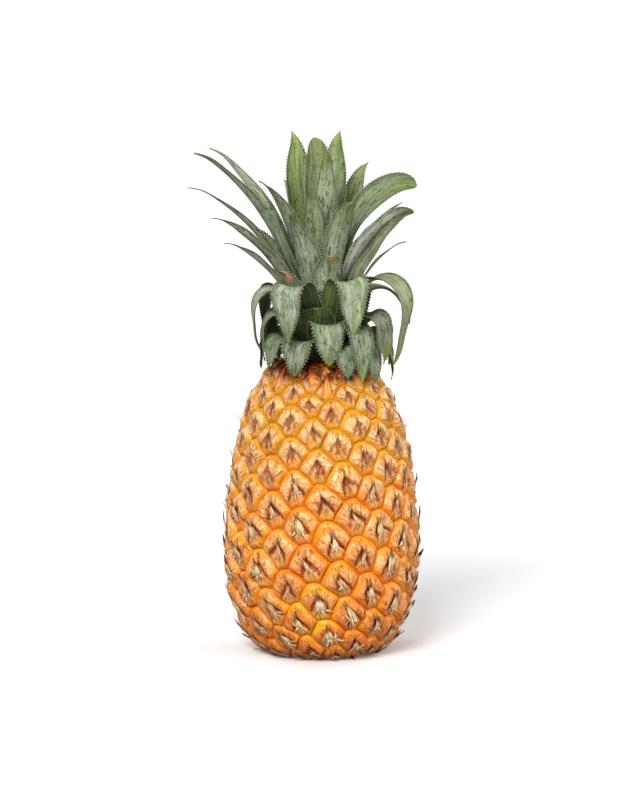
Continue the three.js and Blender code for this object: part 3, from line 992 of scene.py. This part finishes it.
def place_bract(model, number, root, size, sway, lift, curl, settings, arch=0.0, sunk=0.0):
    """A copy of a bract laid on an eye. Its root, size and sway to the side are in halves of the eye. Lift
    is how far it stands off, arch and curl how much further its middle and its tip do, and sunk how far its
    root is below the rest."""
    flat = points_of(model)
    x = root[0] + flat[:, 0] * size[0] + sway * np.maximum(flat[:, 1], 0) ** 2
    x, y = from_pattern(x, root[1] + flat[:, 1] * size[1], number)
    places = net.eye(number) + net.inside(x, y)
    raised = np.maximum(eye_shape(x, y, number, settings)[0], settings.relief * 0.9) * eye_size(places)
    away = lift + curl * np.maximum(flat[:, 1], 0) ** 2 + flat[:, 2] * HALF_EYE * MM
    away += arch * smooth(flat[:, 1], 0, 0.3) - sunk * smooth(flat[:, 1], 0.4, 0)
    points = net.skin(places, raised + away * eye_size(places))
    points[:, 2] = np.maximum(points[:, 2], LOWEST_TIP * MM)
    return copy_of(model, points)


class PINEAPPLE_OT_add_bracts(bpy.types.Operator):
    """Model the dry tips of the bracts on the eyes, and the long bracts round the neck"""

    bl_idname = "pineapple.add_bracts"
    bl_label = "Bracts"

    def execute(self, context):
        settings = context.scene.pineapple_fruit
        frayed = [frayed_bract(kind) for kind in range(FRAYED_KINDS)]
        whole = flat_bract(((0, 0), (0, 1), 0.24, 2, 5))
        tips, collar = [], []
        for number in range(net.first, net.last + 1):
            height = net.height_at(net.eye(number)) / MM
            if height > NECK_BRACTS_FROM:
                collar.append(self.neck_bract(whole, number, height, settings))
            else:
                tips.append(self.dry_tip(frayed[number % len(frayed)], number, height, settings))
        for model in (*frayed, whole):
            discard(model)
        deliver(join(tips, "bract_tips"), straw_material(settings), "rind")
        deliver(join(collar, "neck_bracts"), neck_bract_material(), "rind")
        return {"FINISHED"}

    def dry_tip(self, model, number, height, settings):
        """The dry tip of the bract on one eye: longer low on the fruit, and torn near its base."""
        chance = chance_for("dry_tip", number)
        low, bottom, torn = (float(smooth(height, *span)) for span in (LONG_TIPS, WIDE_TIPS, TORN_TIPS))
        tall = settings.bract / (10 * MM) * chance.uniform(0.7, 1.2)
        tall *= mix(0.75, mix(1.1, 1.25, bottom), low)
        wide = tall * chance.uniform(0.65, 1.2) * mix(0.6, mix(0.95, 1.2, bottom), low)
        wide *= chance.choice((-1, 1))
        root, sway = (chance.uniform(-0.05, 0.05), chance.uniform(-0.3, -0.2)), chance.uniform(-0.3, 0.3)
        curl = mix(chance.uniform(0.5, 4), chance.uniform(1, 6), torn)
        tip = place_bract(
            model, number, root, (wide, tall), sway, TIP_LIFT * MM, curl * MM, settings,
            arch=TIP_ARCH * MM)
        mark(tip, seed=chance.uniform(0, 1), low=low, torn=torn)
        return tip

    def neck_bract(self, model, number, height, settings):
        """One long bract round the neck, longest at the top."""
        chance = chance_for("neck_bract", number)
        high = float(smooth(height, *LONG_NECK_BRACTS))
        root, wide = (chance.uniform(-0.1, 0.1), -0.6), chance.uniform(2.2, 3.4)
        tall = mix(chance.uniform(1.6, 2.4), chance.uniform(2.4, 3.4), high)
        sway, curl = chance.uniform(-0.2, 0.2), chance.uniform(2, 6)
        bract = place_bract(
            model, number, root, (wide, tall), sway, NECK_LIFT * MM, curl * MM, settings,
            sunk=NECK_SINK * MM)
        mark(bract, seed=chance.uniform(0, 1), high=high)
        return bract


def straw_material(settings):
    """Papery straw, streaked along its fibres, and browner high on the fruit, at its tip and inside."""
    straw = Surface("dry_bract_tip", IOR=1.4)
    across, along = straw.layout("blade")
    seed = straw.attribute("seed")
    low = straw.attribute("low")
    streak = straw.noise(straw.point(across * 22, along * 2, seed * 50), 1.0, 3, 0.6)
    pale = (low + seed * 0.5).between(0.3, 0.9)
    straw.colour = straw.blend(pale, shade(190, 120, 80), settings.straw)
    straw.paint(streak.between(0.52, 0.6) * 0.8, shade(158, 88, 50))
    straw.paint(streak.between(0.47, 0.38) * (pale * 0.8 + 0.1), shade(255, 240, 210))
    straw.paint(straw.attribute("torn") * streak.between(0.4, 0.6) * 0.7, shade(196, 116, 92))
    dark = (along + streak * 0.3).between(0.5, 0.74)
    straw.paint(dark * 0.88, shade(88, 42, 18))
    straw.paint(straw.attribute("inner") * along.between(-0.1, 0.1) * 0.85, shade(104, 42, 14))
    return straw.finish(streak * 0.3 + 0.45, streak, 0.6)


def neck_bract_material():
    """Fleshy yellow bracts that dry to red-brown at their edges and tips."""
    bract = Surface("neck_bract", IOR=1.45)
    across, along = bract.layout("blade")
    seed = bract.attribute("seed")
    streak = bract.noise(bract.point(across * 24, along * 2.0, seed * 50), 1.0, 3, 0.6)
    high = bract.attribute("high")
    bract.colour = bract.blend(streak.between(0.36, 0.52), shade(240, 184, 84), shade(228, 140, 20))
    edge = (abs(across) + along * 0.2 + streak * 0.06).between(0.14, 0.21)
    bract.paint(edge * 0.7, shade(214, 112, 20))
    dry = (along + streak * 0.6 + seed * 0.3 + high * 0.3).between(0.78, 1.12)
    bract.paint(dry, bract.blend(streak.between(0.42, 0.55), shade(92, 24, 8), shade(176, 62, 20)))
    return bract.finish(streak * 0.2 + 0.38, streak, 0.6)


# ---- The cut stalk and the stem in the crown ----


def fibre_material(name, heart, rim, roughness):
    """Cut plant fibre: rings and strands round the axis."""
    fibre = Surface(name, IOR=1.4)
    place = fibre.place()
    x, y, z = fibre.parts(place)
    reach = (x * x + y * y).math("SQRT")
    turn = y.math("ARCTAN2", x)
    strand = fibre.noise(fibre.point(turn * 9, reach * 0.35, z * 0.1), 2.0, 4, 0.6)
    dots = fibre.spots(place, 0.9)
    fibre.colour = fibre.blend(reach.between(3, 12), heart, rim)
    fibre.paint(strand.between(0.45, 0.7) * 0.6, shade(120, 84, 46))
    fibre.paint(dots.between(0.25, 0.1) * 0.6, shade(92, 62, 34))
    return fibre.finish(strand * 0.2 + roughness, strand - dots * 0.4, 0.5)


class PINEAPPLE_OT_add_stalk(bpy.types.Operator):
    """Model the cut stalk under the fruit, and finish the stem in the crown"""

    bl_idname = "pineapple.add_stalk"
    bl_label = "Stalk and Stem"

    def execute(self, context):
        low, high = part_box("cut_stalk")
        radius, depth = (high.x - low.x) / 2, high.z - low.z
        stalk = start(
            bpy.ops.mesh.primitive_cylinder_add, vertices=64, radius=radius, depth=depth,
            location=(0, 0, low.z + depth / 2), end_fill_type="NGON")
        bpy.ops.object.transform_apply(location=True, rotation=False, scale=False)
        with editing(stalk, "DESELECT", "FACE"):
            pass  # This only leaves nothing selected.
        for polygon in stalk.data.polygons:
            polygon.select = polygon.normal.z < -0.9
        with editing(stalk, None):
            for _ in range(STALK_RINGS):
                bpy.ops.mesh.inset(thickness=radius / (STALK_RINGS + 1))
            bpy.ops.mesh.poke()
        points = points_of(stalk)
        reach = np.hypot(points[:, 0], points[:, 1])
        face = points[:, 2] < low.z + depth / 2
        turn = np.arctan2(points[:, 1], points[:, 0])
        fibres = 0.5 + 0.5 * np.sin(turn * 13 + reach / MM * 1.7) * np.sin(reach / MM * 2.3)
        inner = smooth(reach / radius, 0.93, 0.75)
        points[:, 2] += face * inner * fibres * FIBRE_DEPTH * MM
        move_points(stalk, points)
        face_outwards(stalk)
        stalk.name = stalk.data.name = "stalk_end"
        cut = fibre_material("cut_stalk_fibre", shade(206, 176, 116), shade(156, 116, 66), 0.65)
        deliver(stalk, cut, "stalk", "cut_stalk")
        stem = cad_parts["crown_stem"]
        stem.data.materials.clear()
        stem.data.materials.append(
            fibre_material("crown_stem_fibre", shade(176, 168, 96), shade(128, 112, 58), 0.6))
        return {"FINISHED"}


# ---- The leaves ----

LEAF_COLUMNS = (0.0, 0.35, 0.7, 0.93, 1.0)  # where the lines of points run, from the middle to a margin
SPINE_ROWS = (0.0, 0.28, 0.55)  # where a spine starts, points and ends, as shares of the pitch
MIDLINE_STEPS = 240


def stem_radius(height):
    """The stem's radius where a leaf leaves it."""
    return mix(STEM_RADIUS, STEM_TIP_RADIUS, (height - NECK_HEIGHT) / STEM_HEIGHT)


def foot_radius(tier, leaf):
    """How far the middle of a leaf's foot is from the axis."""
    return stem_radius(leaf.rise) + GAP + tier["thick"]


def midline(tier, leaf):
    """The line down the back of a leaf, in the upright plane that it grows in: the share of its length,
    its tilt from upright, and its distance from the axis and height in millimetres."""
    share = np.linspace(0, 1, MIDLINE_STEPS + 1)
    bent = mix(leaf.lean, leaf.tip_lean, smooth(share, leaf.bend - tier["ease"], leaf.bend + tier["ease"]))
    tilt = np.radians(bent + TIP_HOOK * smooth(share, HOOK_FROM, 1))
    step = leaf.length / MIDLINE_STEPS
    out = np.concatenate([[0], np.cumsum(np.sin(tilt[:-1]) * step)]) + foot_radius(tier, leaf)
    up = np.concatenate([[0], np.cumsum(np.cos(tilt[:-1]) * step)]) + leaf.rise
    return share, tilt, out, up


def leaf_width(tier, leaf, share):
    """The width of a leaf at some shares of its length."""
    foot = mix(FOOT_WIDTH, 1, smooth(share, 0, FULL_WIDTH_FROM))
    taper = np.sqrt(np.maximum(1 - share**leaf.blunt, 0)) if leaf.blunt else 1 - share ** tier["point"]
    return np.maximum(POINT_WIDTH, leaf.width * foot * taper)


class PINEAPPLE_OT_add_leaves(bpy.types.Operator):
    """Model the leaves of one tier of the crown"""

    bl_idname = "pineapple.add_leaves"
    bl_label = "Leaves"

    tier: bpy.props.EnumProperty(
        name="Tier", description="Which leaves of the crown",
        items=[(name, name.replace("_", " ").title(), "A tier of leaves") for name in TIERS])

    def execute(self, context):
        settings = context.scene.pineapple_crown
        tier, order = TIERS[self.tier], list(TIERS).index(self.tier)
        for number, row in enumerate(tier["leaves"], start=1):
            node = f"{self.tier}_{number}"
            look = PLAIN_LOOK | tier["look"] | LEAF_LOOKS.get(node, {})
            blade = self.blade(tier, Leaf(*row), look, chance_for("leaf", 100 * order + number), settings)
            blade.name = blade.data.name = f"{node}_blade"
            deliver(blade, leaf_material(tier["slot"], settings), tier["slot"], node)
        return {"FINISHED"}

    def blade(self, tier, leaf, look, chance, settings):
        """A leaf with a row of spines along each margin."""
        pitch = settings.pitch / MM
        teeth = round(leaf.length / pitch)
        stations = len(SPINE_ROWS) * teeth
        columns = 2 * (len(LEAF_COLUMNS) - 1)
        blade, across, along = flat_grid(columns, stations)
        column = np.round(across * columns).astype(int) - columns // 2
        station = np.round(along * stations).astype(int)
        side = np.sign(column) * np.array(LEAF_COLUMNS)[np.abs(column)]
        tooth, row = np.divmod(station, len(SPINE_ROWS))
        share = (tooth + np.array(SPINE_ROWS)[row]) / teeth

        spine = (np.abs(column) == columns // 2) & (row == 1)
        spine = spine * smooth(share, 0.03, 0.12) * smooth(share, 1.0, 0.94)
        sharp = spine * settings.spine / MM * chance.uniform(0.7, 1.15, len(spine))
        forward = np.where(spine > 0, SPINE_LEAN * pitch / leaf.length, 0.0)
        place = np.minimum(share + forward, 1)
        across, along, points = self.surface(tier, leaf, side, place, sharp, chance)
        move_points(blade, points * MM)
        mark(blade, share=share, spine=spine, margin=np.abs(side))
        full = blade.vertex_groups.new(name="full")
        weight = (1 - MARGIN_THINNING * np.abs(side) ** 2.5) * (1 - TIP_THINNING * share)
        for index, amount in enumerate(weight):
            full.add([index], float(amount), "REPLACE")
        thicken(
            blade, across, along, look | {"seed": chance.uniform(0, 1)}, tier["thick"], offset=1.0,
            vertex_group="full", thickness_vertex_group=0.05)
        blade.vertex_groups.clear()
        return blade

    def surface(self, tier, leaf, side, share, sharp, chance):
        """Points on a leaf's back, in millimetres, and how far each is across and along it."""
        steps, tilt, out, up = midline(tier, leaf)
        tilt, out, up = (np.interp(share, steps, values) for values in (tilt, out, up))
        trough = mix(foot_radius(tier, leaf), tier["trough"], smooth(share, 0, FOOT_WRAP))
        half = leaf_width(tier, leaf, share) / 2
        swing = side * half / trough
        across = np.sin(swing) * trough
        lift = (1 - np.cos(swing)) * trough
        phase, waves = chance.uniform(0, math.tau), chance.uniform(1.5, 3)
        ripple = np.sin(share * waves * math.tau + phase + np.sign(side) * 0.8)
        lift += RIPPLE * leaf.width * ripple * side**2 * smooth(share, 0.1, 0.5)
        across += np.sign(side) * sharp
        sway = chance.uniform(-1, 1) * SWAY * leaf.length * smooth(share, 0.2, 1)
        turn = math.radians(leaf.roll) * smooth(share, *ROLL_SPAN)
        turn += math.radians(chance.uniform(-5, 5)) * share
        raised = lift * np.cos(turn) - across * np.sin(turn)
        level = across * np.cos(turn) + lift * np.sin(turn) + sway
        outward = out - np.cos(tilt) * raised
        height = up + np.sin(tilt) * raised
        angle = math.radians(leaf.bearing)
        x = outward * math.cos(angle) - level * math.sin(angle)
        y = outward * math.sin(angle) + level * math.cos(angle)
        return side * half, share * leaf.length, np.stack([x, y, height], axis=1)


def thicken(leaf, across, along, look, thickness, **solid):
    """Gives a flat leaf its layout, its thickness in millimetres and its look."""
    set_layout(leaf, "blade", np.stack([across, along], axis=1))
    count = len(leaf.data.vertices)
    apply_modifier(leaf, "SOLIDIFY", thickness=thickness * MM, use_even_offset=False, **solid)
    mark(leaf, face=np.arange(len(leaf.data.vertices)) >= count, **look)
    face_outwards(leaf)


class PINEAPPLE_OT_add_furled_leaf(bpy.types.Operator):
    """Model the youngest leaf, still furled on the tip of the stem"""

    bl_idname = "pineapple.add_furled_leaf"
    bl_label = "Furled Leaf"

    def execute(self, context):
        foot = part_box("crown_stem")[1].z
        leaf, side, share = flat_grid(32, 16)
        side = side * 2 - 1
        turn = (side + 1) * math.pi * FURL_TURNS
        reach = (FURL_RADIUS + turn * FURL_GROWTH) * mix(1, 0.3, share**2)
        height = share * (FURLED_LENGTH - FURL_SLANT * np.abs(side) ** 1.5)
        points = np.stack([reach * np.cos(turn), reach * np.sin(turn), height], axis=1) * MM
        points[:, 2] += foot
        move_points(leaf, points)
        leaf.name = leaf.data.name = "furled_leaf"
        mark(leaf, share=share, margin=np.abs(side), spine=0.0)
        look = PLAIN_LOOK | TIERS["heart_leaf"]["look"] | {"seed": 0.5}
        thicken(leaf, side * FURLED_WIDTH / 2, share * FURLED_LENGTH, look, FURLED_THICKNESS, offset=0.0)
        deliver(leaf, leaf_material("inner_leaves", context.scene.pineapple_crown), "inner_leaves")
        return {"FINISHED"}


def leaf_material(slot, settings):
    """A tough leaf: dark green under a grey bloom that is streaked along it and rubbed off in places,
    yellower towards the tip, with pale spines and painted shade towards its foot."""
    name = f"pineapple_{slot}"
    if name in bpy.data.materials:
        return bpy.data.materials[name]
    leaf = Surface(name, IOR=1.45)
    across, along = leaf.layout("blade")
    share, margin, seed = (leaf.attribute(n) for n in ("share", "margin", "seed"))
    back, upper = leaf.attribute("back"), leaf.attribute("upper")
    bloom = back + (upper - back) * leaf.attribute("face")
    ripe, tip, scar, blush = (leaf.attribute(n) for n in ("ripe", "tip", "scar", "blush"))
    shift = seed * 97

    line = leaf.noise(leaf.point(across * 0.9, along * 0.025, shift), 1.0, 3, 0.65)
    broad = leaf.noise(leaf.point(across * 0.25, along * 0.05, shift), 1.0, 3, 0.6)
    rubbed = leaf.noise(leaf.point(across * 0.6, along * 0.16, shift + 9), 1.0, 4, 0.7)
    grain = leaf.noise(leaf.point(across, along, shift), 1.6, 3, 0.65)

    young = (ripe + broad * 0.7 + line * 0.3 + share * 0.4).between(1.0, 1.5)
    deep = leaf.blend(line.between(0.35, 0.65), settings.green, shade(88, 110, 52))
    fresh = leaf.blend((line + grain * 0.3).between(0.42, 0.88), shade(76, 98, 42), settings.ripe)
    leaf.colour = leaf.blend(young, deep, fresh)
    cover = bloom * (rubbed.between(0.62, 0.48) * 0.78 + 0.32) * (line.between(0.3, 0.7) * 0.4 + 0.7)
    cover = (cover * share.between(1.1, 0.7)).math("MINIMUM", 0.96)
    dust = leaf.blend(broad.between(0.35, 0.65), settings.bloom, shade(146, 158, 126))
    dust = leaf.blend(bloom.between(1.0, 1.4), dust, shade(206, 208, 196))
    leaf.paint(cover, dust)

    streak = rubbed.between(0.56, 0.63) * line.between(0.42, 0.54) * bloom.between(1.15, 0.75)
    leaf.paint(streak * 0.85, shade(48, 62, 22))
    speck = leaf.spots(leaf.point(across, along * 0.7, shift), 0.62)
    speck = speck.between(0.36, 0.22) * grain.between(0.42, 0.52) * rubbed.between(0.38, 0.52)
    leaf.paint(speck * 0.85, shade(32, 42, 20))
    dot = leaf.spots(leaf.point(across, along * 0.8, shift + 5), 0.5).between(0.14, 0.08)
    leaf.paint(dot * grain.between(0.5, 0.4) * 0.7, shade(186, 196, 184))

    point = (share + tip * 0.14 + line * 0.1).between(0.98, 1.16) * tip.between(0.0, 0.4)
    leaf.paint(point, settings.tip)
    dry = (share + tip * 0.06 + line * 0.04).between(1.03, 1.1) * tip.between(0.45, 1.0)
    leaf.paint(dry, shade(216, 150, 60))
    blotch = leaf.noise(leaf.point(across * 0.3, along * 0.16, shift + 3), 1.0, 3, 0.7).between(0.55, 0.68)
    leaf.paint(blotch * blush * share.between(0.35, 0.6), shade(178, 120, 84))
    wound = (share + grain * 0.3 - margin * 0.1 + scar * 0.2).between(1.08, 1.2) * scar.between(0.0, 0.5)
    torn = leaf.blend(grain.between(0.42, 0.5), shade(150, 96, 52), shade(214, 140, 96))
    torn = leaf.blend(rubbed.between(0.5, 0.6), torn, shade(232, 196, 176))
    leaf.paint(wound, torn)

    rim = (margin + grain * 0.3).between(0.78, 1.1)
    leaf.paint(rim * 0.6, shade(50, 66, 28))
    # Painted shade: darker towards the foot of each leaf, where the leaves crowd round the stem.
    leaf.paint((share + line * 0.2).between(0.6, 0.14) * 0.82, shade(34, 44, 22))
    leaf.paint(leaf.attribute("spine") * 0.85, shade(196, 188, 146))
    roughness = line * 0.15 + cover * 0.2 + 0.36
    relief = line * 0.7 + grain * 0.3 + cover * 0.3
    return leaf.finish(roughness, relief, 0.7)


# ---- The studio ----

FLOOR_RADIUS = 9.0  # metres, as are the rest of these places
FLOOR_HEIGHT = -0.0003
LIGHTS_AIM = (0, 0, 0.15)
# Where each light stands, its strength as a share of the key light's, and its softness in degrees.
LIGHTS = {
    "key": ((-0.5, -1.4, 1.25), 1.0, 28),
    "fill": ((1.2, -1.0, 0.5), 0.5, 40),
    "back_left": ((-1.3, 1.0, 0.9), 0.3, 30),
    "back_right": ((1.3, 1.0, 0.9), 0.3, 30),
}
VIEW_CENTRE = (-0.0011, 0, 0.16)


class PINEAPPLE_OT_set_stage(bpy.types.Operator):
    """Set up a plain pale floor, soft lights and the camera"""

    bl_idname = "pineapple.set_stage"
    bl_label = "Studio"

    def execute(self, context):
        settings = context.scene.pineapple_studio
        floor = start(
            bpy.ops.mesh.primitive_circle_add, vertices=64, radius=FLOOR_RADIUS, fill_type="NGON",
            location=(0, 0, FLOOR_HEIGHT))
        bpy.ops.object.transform_apply(location=True, rotation=False, scale=False)
        floor.name = "studio_floor"
        plain = Surface("studio_floor", Roughness=0.9)
        plain.feed(plain.shader.inputs["Base Color"], settings.floor)
        floor.visible_diffuse = floor.visible_glossy = False
        floor.data.materials.append(plain.material)
        self.add_lights(settings)
        self.add_camera(settings)
        context.scene.view_settings.view_transform = "Standard"
        return {"FINISHED"}

    def add_lights(self, settings):
        world = bpy.data.worlds.new("studio")
        bpy.context.scene.world = world
        world.use_nodes = True
        background = world.node_tree.nodes["Background"]
        background.inputs["Color"].default_value = (1.0, 1.0, 1.0, 1.0)
        background.inputs["Strength"].default_value = settings.ambient
        for name, (place, share, softness) in LIGHTS.items():
            data = bpy.data.lights.new(f"studio_{name}", "SUN")
            data.energy = settings.key * share
            data.angle = math.radians(softness)
            light = bpy.data.objects.new(f"studio_{name}", data)
            light.location = place
            light.rotation_euler = (Vector(LIGHTS_AIM) - light.location).to_track_quat("-Z", "Y").to_euler()
            bpy.context.scene.collection.objects.link(light)

    def add_camera(self, settings):
        data = bpy.data.cameras.new("studio_camera")
        data.lens = settings.lens
        distance = settings.lens / data.sensor_width * settings.view_height
        camera = bpy.data.objects.new("studio_camera", data)
        bpy.context.scene.collection.objects.link(camera)
        back = Vector((0, -math.cos(settings.elevation), math.sin(settings.elevation)))
        camera.location = Vector(VIEW_CENTRE) + back * distance
        camera.rotation_euler = (-back).to_track_quat("-Z", "Y").to_euler()
        data.clip_start, data.clip_end = 0.1, 50.0
        bpy.context.scene.camera = camera


class PINEAPPLE_PT_panel(bpy.types.Panel):
    """Lists the pieces of the pineapple with their settings"""

    bl_label = "Pineapple"
    bl_idname = "PINEAPPLE_PT_panel"
    bl_space_type = "VIEW_3D"
    bl_region_type = "UI"
    bl_category = "Pineapple"

    def draw(self, context):
        operators = {
            "pineapple_fruit": (PINEAPPLE_OT_add_skin, PINEAPPLE_OT_add_bracts, PINEAPPLE_OT_add_stalk),
            "pineapple_crown": (PINEAPPLE_OT_add_leaves, PINEAPPLE_OT_add_furled_leaf),
            "pineapple_studio": (PINEAPPLE_OT_set_stage,),
        }
        for group, members in operators.items():
            box = self.layout.box()
            for name in SETTINGS[group].__annotations__:
                box.prop(getattr(context.scene, group), name)
            for operator in members:
                if operator is PINEAPPLE_OT_add_leaves:
                    box.operator_enum(operator.bl_idname, "tier")
                else:
                    box.operator(operator.bl_idname)


SETTINGS = {
    "pineapple_fruit": PineappleFruitSettings, "pineapple_crown": PineappleCrownSettings,
    "pineapple_studio": PineappleStudioSettings,
}
CLASSES = (
    *SETTINGS.values(), PINEAPPLE_OT_add_skin, PINEAPPLE_OT_add_bracts, PINEAPPLE_OT_add_stalk,
    PINEAPPLE_OT_add_leaves, PINEAPPLE_OT_add_furled_leaf, PINEAPPLE_OT_set_stage, PINEAPPLE_PT_panel,
)


def register():
    for item in CLASSES:
        bpy.utils.register_class(item)
    for name, settings in SETTINGS.items():
        setattr(bpy.types.Scene, name, bpy.props.PointerProperty(type=settings))


def unregister():
    for name in SETTINGS:
        delattr(bpy.types.Scene, name)
    for item in reversed(CLASSES):
        bpy.utils.unregister_class(item)


def main():
    register()
    bpy.ops.pineapple.set_stage()
    bpy.ops.pineapple.add_skin()
    bpy.ops.pineapple.add_bracts()
    bpy.ops.pineapple.add_stalk()
    for tier in TIERS:
        bpy.ops.pineapple.add_leaves(tier=tier)
    bpy.ops.pineapple.add_furled_leaf()


if __name__ == "__main__":
    main()
